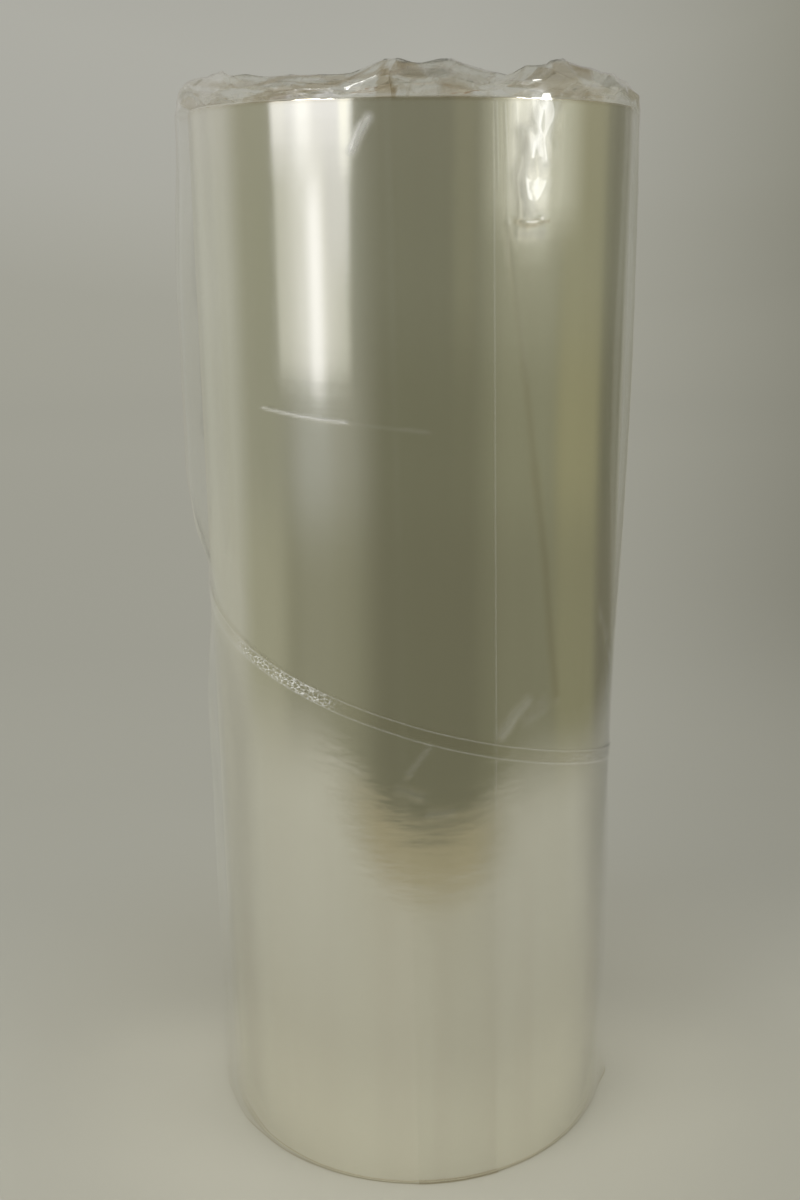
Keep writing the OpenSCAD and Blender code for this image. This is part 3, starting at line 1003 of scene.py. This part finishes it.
def painted_room_material():
    material = bpy.data.materials.new("painted_room_reflection")
    g = Graph(material)
    angle, _, z = g.polar()
    shade = painted_room_shade(g, angle, g.smooth(z, *WALL_RISE), FAR)
    shade = g.mix(g.smooth(z, *SKY_RANGE), shade, g.scaled(shade, PAINTED_SKY))
    for at, half, soft, low, high, edge, tint in PAINTED_WINDOWS:
        inside = g.within(z, (low - edge, low + edge), (high - edge, high + edge))
        inside = g.times(inside, near_azimuth(g, angle, at, half, soft))
        shade = g.mix(inside, shade, colour(*tint))
    shade = g.mix(g.smooth(z, *CEILING_RANGE), shade, PAINTED_CEILING)
    g.surface(g.add("ShaderNodeEmission", {"Color": shade}).outputs[0])
    return material


def build_painted_room():
    profile = np.array([(RING_R, RING_FOOT), (RING_R, RING_H), (RING_HOLE, RING_H)]) / MM
    faces = grid_faces(len(profile), RING_SEGMENTS, closed=True)
    glossy_only(add_mesh("painted_room_reflection", lathe(profile, RING_SEGMENTS), faces, painted_room_material()))


# A painted reflection of the floor beyond the pale sheet, also seen by gloss alone. The sheet is a
# rounded rectangle, turned a little. Its edge is sharp and tan at the front and soft at the sides.
SHEET_CENTRE = (-0.065, 0.1)
SHEET_HALF = (0.6, 0.575)
SHEET_TURN = math.radians(10)
SHEET_ROUND = 3.0
PAINTED_FRINGE_TAN = colour(0.315, 0.285, 0.185)
# Softness of its edge: from one angle to another, the values between which it goes
SOFT_LEFT, SOFT_RIGHT = (-85.0, -15.0, 0.3, 0.07), (25.0, 65.0, 0.07, 0.19)
# Where painted shade dims the sheet itself: azimuth, half width and softness, and by the distance
# in metres
DIM_AHEAD, DIM_AHEAD_RANGE = (2, 35, 40), (0.13, 0.42, 0.0, 0.24)
DIM_BEHIND, DIM_BEHIND_RANGE = (-145, 25, 30), (0.12, 0.3, 0.0, 0.7)
# The painted tan fringe: its azimuths, and by the way across the sheet how tan and how solid it is
FRINGE = (5, 40, 40)
FRINGE_TAN, FRINGE_COVER = (0.94, 1.07, 1.0, 0.0), (0.72, 0.93, 0.0, 0.95)
DIM_FLOOR_Z = 0.002


def painted_reflection_floor_material():
    material = bpy.data.materials.new("painted_reflection_floor")
    g = Graph(material)
    angle, radius, _ = g.polar()
    place = g.add("ShaderNodeMapping", {
        "Vector": g.place(),
        "Location": (*SHEET_CENTRE, 0),
        "Rotation": (0, 0, SHEET_TURN),
        "Scale": (*SHEET_HALF, 1),
    }, vector_type="TEXTURE").outputs[0]
    x, y, _ = g.apart(place)
    sides = [g.math("POWER", g.math("ABSOLUTE", v), SHEET_ROUND) for v in (x, y)]
    across = g.math("POWER", g.math("ADD", *sides), 1 / SHEET_ROUND)
    soft = g.math("MAXIMUM", g.smooth(angle, *SOFT_LEFT), g.smooth(angle, *SOFT_RIGHT))
    beyond = g.smooth(across, g.math("SUBTRACT", 1.0, soft), g.math("ADD", 1.0, soft))
    ahead = near_azimuth(g, angle, *DIM_AHEAD)
    ahead = g.times(ahead, g.smooth(radius, *DIM_AHEAD_RANGE))
    behind = near_azimuth(g, angle, *DIM_BEHIND)
    behind = g.times(behind, g.smooth(radius, *DIM_BEHIND_RANGE))
    beyond = g.math("MAXIMUM", beyond, behind)
    shade = painted_room_shade(g, angle, g.smooth(radius, *FAR_FLOOR_RANGE), NEAR)
    fringed = near_azimuth(g, angle, *FRINGE)
    shade = g.mix(g.times(g.smooth(across, *FRINGE_TAN), fringed), shade, PAINTED_FRINGE_TAN)
    fringe = g.times(g.smooth(across, *FRINGE_COVER), fringed)
    glow = g.add("ShaderNodeEmission", {"Color": shade}).outputs[0]
    through = g.add("ShaderNodeBsdfTransparent").outputs[0]
    cover = g.math("MAXIMUM", g.math("MAXIMUM", beyond, fringe), ahead)
    g.surface(g.mix_shader(cover, through, glow))
    return material


def build_painted_reflection_floor():
    corners = [(-RING_R, -RING_R), (RING_R, -RING_R), (RING_R, RING_R), (-RING_R, RING_R)]
    corners = np.array([(x, y, DIM_FLOOR_Z) for x, y in corners]) / MM
    glossy_only(add_mesh("painted_reflection_floor", corners, np.array([[0, 1, 2, 3]]), painted_reflection_floor_material()))


# Light: an even white world and two broad soft lamps

WORLD_LEVEL = 0.86
# Lamps: azimuth in degrees, distance, height and size in metres, and watts
SOFTBOXES = [(-50, 1.9, 1.3, 1.2, 14), (66, 1.9, 1.3, 1.0, 8)]


def build_light():
    world = bpy.data.worlds.new("studio")
    bpy.context.scene.world = world
    g = Graph(world)
    sky = g.add("ShaderNodeBackground", {"Color": WHITE, "Strength": WORLD_LEVEL})
    g.add("ShaderNodeOutputWorld", {"Surface": sky.outputs[0]})
    for azimuth, distance, height, size, watts in SOFTBOXES:
        lamp = bpy.data.lights.new("softbox", "AREA")
        lamp.size = size
        lamp.energy = watts
        obj = bpy.data.objects.new("softbox", lamp)
        bpy.context.scene.collection.objects.link(obj)
        obj.location = to_xyz(distance, azimuth, height)
        aim = Vector((0, 0, FILM_WIDTH * MM / 2)) - obj.location
        obj.rotation_euler = aim.to_track_quat("-Z", "Y").to_euler()
        obj.visible_glossy = False
        obj.visible_camera = False


# Camera, fitted to both rims and both sides of the roll in the photograph
CAMERA_AT = (0, -0.6418, 0.4612)
CAMERA_PITCH, CAMERA_YAW, CAMERA_ROLL = (math.radians(v) for v in (16.693, 0.582, -0.5))
CAMERA_LENS, CAMERA_SENSOR = 39.89, 36
CAMERA_NEAR = 0.01


def build_camera():
    forward = Vector((-math.sin(CAMERA_YAW), math.cos(CAMERA_YAW), 0))
    right = Vector((math.cos(CAMERA_YAW), math.sin(CAMERA_YAW), 0))
    ahead = forward * math.cos(CAMERA_PITCH) - Vector((0, 0, math.sin(CAMERA_PITCH)))
    above = forward * math.sin(CAMERA_PITCH) + Vector((0, 0, math.cos(CAMERA_PITCH)))
    x = right * math.cos(CAMERA_ROLL) + above * math.sin(CAMERA_ROLL)
    y = above * math.cos(CAMERA_ROLL) - right * math.sin(CAMERA_ROLL)
    data = bpy.data.cameras.new("camera")
    data.lens, data.sensor_width, data.sensor_fit = CAMERA_LENS, CAMERA_SENSOR, "AUTO"
    data.clip_start = CAMERA_NEAR
    camera = bpy.data.objects.new("camera", data)
    bpy.context.scene.collection.objects.link(camera)
    turned = Matrix((x, y, -ahead)).transposed().to_4x4()
    camera.matrix_world = Matrix.Translation(CAMERA_AT) @ turned
    bpy.context.scene.camera = camera


build_backdrop()
build_painted_room()
build_painted_reflection_floor()
build_light()
build_camera()
bpy.context.scene.view_settings.view_transform = "Standard"
